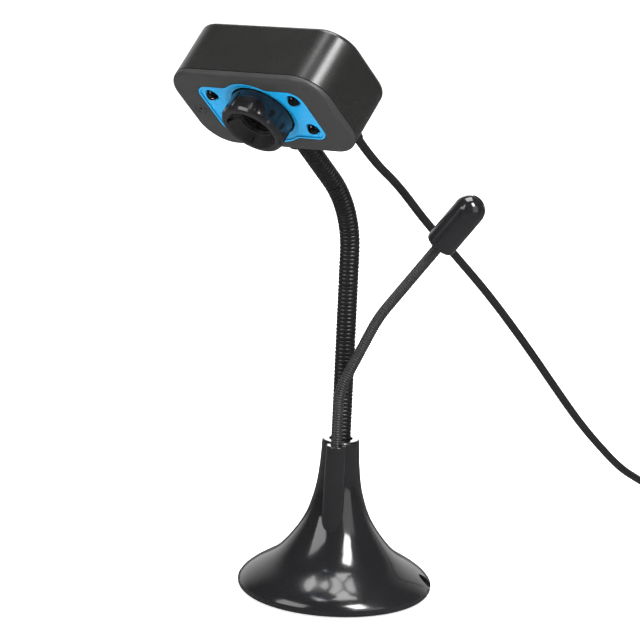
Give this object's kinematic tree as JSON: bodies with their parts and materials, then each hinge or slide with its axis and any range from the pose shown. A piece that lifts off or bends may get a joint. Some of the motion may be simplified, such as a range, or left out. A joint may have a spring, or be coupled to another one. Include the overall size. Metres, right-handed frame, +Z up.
{
  "type": "webcam",
  "caption": "Desk webcam: camera head on a bendable neck over a weighted trumpet base, with a small microphone on its own bendable neck.",
  "frame": {"origin": "centre of the foot pad's underside, on the table", "axes": "+Z up along the base's axis; the main neck leans the head towards -Y; +X is to the right of someone who faces the lens"},
  "size_m": [0.1091, 0.3352, 0.2394],
  "materials": {
    "gloss_black": "glossy moulded ABS",
    "satin_black": "satin moulded ABS",
    "bezel_grey": "fine matt texture",
    "trim_blue": "bright blue lacquer",
    "neck_black": "ribbed hose",
    "zinc_steel": "zinc plated",
    "ballast_steel": "rough cast",
    "foam_black": "closed-cell foam",
    "board_green": "solder mask",
    "lens_glass": "coated glass",
    "lamp_clear": "clear epoxy",
    "sensor_dark": "sensor window",
    "cord_black": "satin PVC",
    "plug_steel": "nickel plated",
    "tongue_white": "plain",
    "mic_can": "drawn can"
  },
  "bodies": {
    "base": {"base_shell": "gloss_black", "base_ballast": "ballast_steel", "base_plate": "satin_black", "base_screws": "zinc_steel", "foot_pad": "foam_black", "neck_stud": "zinc_steel", "neck_nut": "zinc_steel", "mic_stud": "zinc_steel"},
    "neck_1": {"neck_link_1": "neck_black"},
    "neck_2": {"neck_link_2": "neck_black"},
    "neck_3": {"neck_link_3": "neck_black"},
    "neck_4": {"neck_link_4": "neck_black"},
    "neck_5": {"neck_link_5": "neck_black"},
    "head": {"head_front": "bezel_grey", "head_back": "satin_black", "head_screws": "zinc_steel", "trim_plate": "trim_blue", "lamp_1": "lamp_clear", "lamp_2": "lamp_clear", "lamp_3": "lamp_clear", "lamp_4": "lamp_clear", "lamp_board": "board_green", "main_board": "board_green", "board_screws": "zinc_steel", "image_sensor": "sensor_dark", "status_lamp": "lamp_clear", "lens_holder": "satin_black", "neck_ferrule": "zinc_steel", "neck_collar": "satin_black", "ferrule_nut": "zinc_steel", "cord_relief": "cord_black", "usb_cord": "cord_black", "usb_cord_tail": "cord_black", "cord_coil": "cord_black", "coil_tie": "satin_black", "plug_grip": "cord_black", "plug_shield": "plug_steel", "plug_tongue": "tongue_white"},
    "focus_ring": {"focus_ring": "gloss_black", "lens_barrel": "satin_black", "front_lens": "lens_glass", "rear_lens": "lens_glass"},
    "mic_neck_1": {"mic_link_1": "neck_black"},
    "mic_neck_2": {"mic_link_2": "neck_black"},
    "mic_neck_3": {"mic_link_3": "neck_black"},
    "mic": {"mic_ferrule": "zinc_steel", "mic_housing": "gloss_black", "mic_cap": "gloss_black", "mic_holder": "foam_black", "mic_element": "mic_can"}
  },
  "joints": [
    {"name": "neck_side_low", "type": "hinge", "parent": "base", "child": "neck_1", "pos_m": [0, 0, 0.0726], "axis": [0, 1, 0], "range_deg": [-22, 8]},
    {"name": "neck_tilt_low", "type": "hinge", "parent": "neck_1", "child": "neck_2", "pos_m": [0, 0, 0.0953], "axis": [1, 0, 0], "range_deg": [-22, 22]},
    {"name": "neck_side_mid", "type": "hinge", "parent": "neck_2", "child": "neck_3", "pos_m": [0, 0, 0.118], "axis": [0, -1, 0], "range_deg": [-15, 22]},
    {"name": "neck_tilt_mid", "type": "hinge", "parent": "neck_3", "child": "neck_4", "pos_m": [0, 0, 0.1407], "axis": [-1, 0, 0], "range_deg": [-22, 22]},
    {"name": "neck_side_high", "type": "hinge", "parent": "neck_4", "child": "neck_5", "pos_m": [0, -0.00472, 0.16267], "axis": [0, 0.8951, 0.4459], "range_deg": [-22, 22]},
    {"name": "head_nod", "type": "hinge", "parent": "neck_5", "child": "head", "pos_m": [0, -0.01887, 0.18026], "axis": [1, 0, 0], "range_deg": [-28, 28]},
    {"name": "mic_swing_low", "type": "hinge", "parent": "base", "child": "mic_neck_1", "pos_m": [0.0046, -0.0074, 0.069], "axis": [-0.4226, 0.9063, 0], "range_deg": [-8, 25]},
    {"name": "mic_fold_low", "type": "hinge", "parent": "mic_neck_1", "child": "mic_neck_2", "pos_m": [0.00828, -0.00568, 0.09531], "axis": [-0.8214, -0.383, 0.4226], "range_deg": [-18, 18]},
    {"name": "mic_swing_high", "type": "hinge", "parent": "mic_neck_2", "child": "mic_neck_3", "pos_m": [0.01892, -0.00072, 0.11961], "axis": [0.4226, -0.9063, 0], "range_deg": [-22, 22]},
    {"name": "mic_fold_high", "type": "hinge", "parent": "mic_neck_3", "child": "mic", "pos_m": [0.03357, 0.00611, 0.14186], "axis": [0.7285, 0.3397, -0.5948], "range_deg": [-22, 22]},
    {"name": "focus_turn", "type": "hinge", "parent": "head", "child": "focus_ring", "pos_m": [0.00095, -0.05422, 0.2041], "axis": [0.1097, -0.7114, -0.6942], "range_deg": [-135, 135]}
  ]
}
